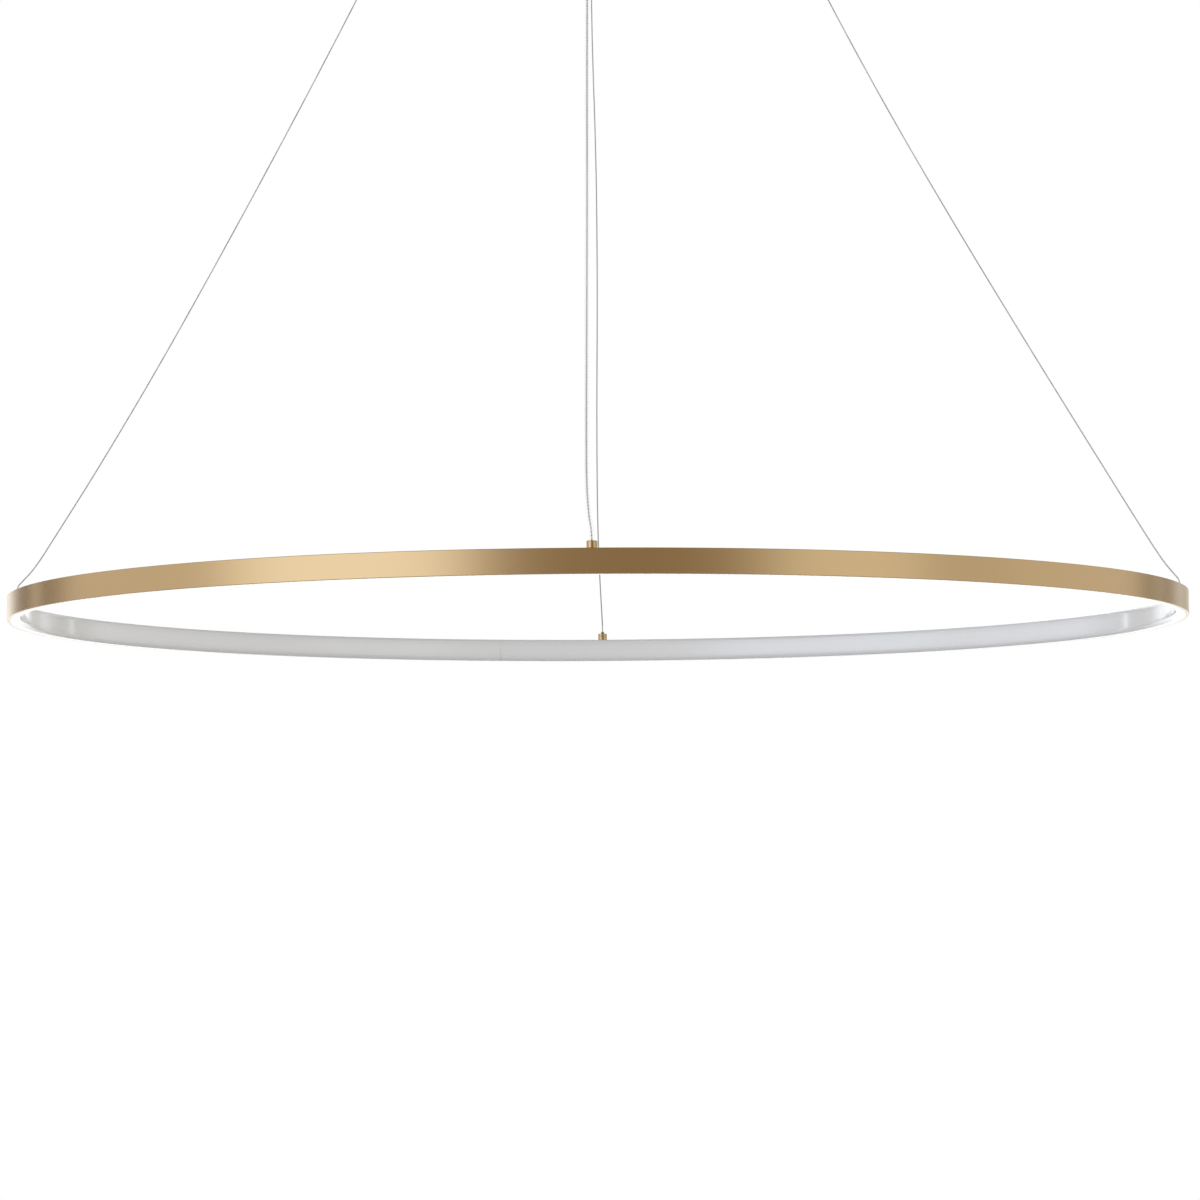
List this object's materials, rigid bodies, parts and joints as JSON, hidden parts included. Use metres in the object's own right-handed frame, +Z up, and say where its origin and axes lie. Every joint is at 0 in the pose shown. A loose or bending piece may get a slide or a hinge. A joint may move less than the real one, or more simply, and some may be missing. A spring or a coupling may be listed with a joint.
{
  "type": "ring chandelier",
  "caption": "Thin gold ring chandelier with an inward-facing opal light strip, hung on converging steel wires and a power cord from a round ceiling canopy.",
  "frame": {"origin": "at the ceiling plane, on the common axis of the canopy and the ring, midway between the screws", "axes": "+Z up into the ceiling, -Y towards the side where the power cord comes down, +X to its right"},
  "size_m": [0.9999, 0.9999, 0.898],
  "materials": {
    "satin_gold_aluminium": "satin gold anodised, fine grain along the band",
    "turned_brass": "fine turned, lacquered",
    "opal_plastic": "glossy opal extrusion, unlit",
    "strip_board": "white solder mask",
    "led_package": "yellow phosphor in a white package",
    "zinc_steel": "zinc plated",
    "bright_steel": "bright hardened steel",
    "steel_wire": "stranded galvanised wire rope",
    "clear_cord": "clear sheath over a tinned twisted pair",
    "driver_case": "fine spark-eroded moulding",
    "white_plastic": "moulded polyamide",
    "brown_lead": "insulated lead",
    "blue_lead": "insulated lead",
    "earth_lead": "insulated lead, green with a yellow stripe",
    "output_lead": "insulated lead",
    "strip_lead": "insulated lead"
  },
  "bodies": {
    "ceiling_set": {"canopy_cup": "satin_gold_aluminium", "canopy_gland": "turned_brass", "gripper_necks": "turned_brass", "gripper_collars": "turned_brass", "gripper_barrel_right": "turned_brass", "gripper_barrel_rear": "turned_brass", "gripper_barrel_left": "turned_brass", "canopy_side_screws": "turned_brass", "ceiling_bracket": "zinc_steel", "outlet_nuts": "zinc_steel", "driver_nuts": "zinc_steel", "earth_screw": "zinc_steel", "block_screw": "zinc_steel", "terminal_screws": "zinc_steel", "canopy_gland_grub": "bright_steel", "gripper_spring_right": "bright_steel", "gripper_spring_rear": "bright_steel", "gripper_spring_left": "bright_steel", "wire_right": "steel_wire", "wire_rear": "steel_wire", "wire_left": "steel_wire", "wire_tails": "steel_wire", "feed_cord": "clear_cord", "feed_cord_tail": "clear_cord", "led_driver": "driver_case", "terminal_block": "white_plastic", "output_connector": "white_plastic", "mains_lead_live": "brown_lead", "mains_lead_neutral": "blue_lead", "earth_lead": "earth_lead", "output_leads": "output_lead"},
    "ring": {"ring_profile": "satin_gold_aluminium", "ring_diffuser": "opal_plastic", "led_strip": "strip_board", "led_chips": "led_package", "joint_plate": "zinc_steel", "joint_screws": "zinc_steel", "wire_stop_right": "turned_brass", "wire_stop_rear": "turned_brass", "wire_stop_left": "turned_brass", "feed_gland": "turned_brass", "fitting_grub_screws": "bright_steel", "fitting_nuts": "zinc_steel", "strip_leads": "strip_lead"},
    "plunger_right": {"gripper_plunger_right": "turned_brass", "gripper_balls_right": "bright_steel"},
    "plunger_rear": {"gripper_plunger_rear": "turned_brass", "gripper_balls_rear": "bright_steel"},
    "plunger_left": {"gripper_plunger_left": "turned_brass", "gripper_balls_left": "bright_steel"}
  },
  "joints": [
    {"name": "height_adjust", "type": "slide", "parent": "ceiling_set", "child": "ring", "axis": [0, 0, 1], "range_m": [0, 0.3], "deforming": ["wire_right", "wire_rear", "wire_left", "feed_cord"]},
    {"name": "release_right", "type": "slide", "parent": "ceiling_set", "child": "plunger_right", "axis": [0, 0, 1], "range_m": [0, 0.0018], "stiffness_N_per_m": 1500, "springref_m": -0.003, "deforming": ["gripper_spring_right"]},
    {"name": "release_rear", "type": "slide", "parent": "ceiling_set", "child": "plunger_rear", "axis": [0, 0, 1], "range_m": [0, 0.0018], "stiffness_N_per_m": 1500, "springref_m": -0.003, "deforming": ["gripper_spring_rear"]},
    {"name": "release_left", "type": "slide", "parent": "ceiling_set", "child": "plunger_left", "axis": [0, 0, 1], "range_m": [0, 0.0018], "stiffness_N_per_m": 1500, "springref_m": -0.003, "deforming": ["gripper_spring_left"]}
  ]
}
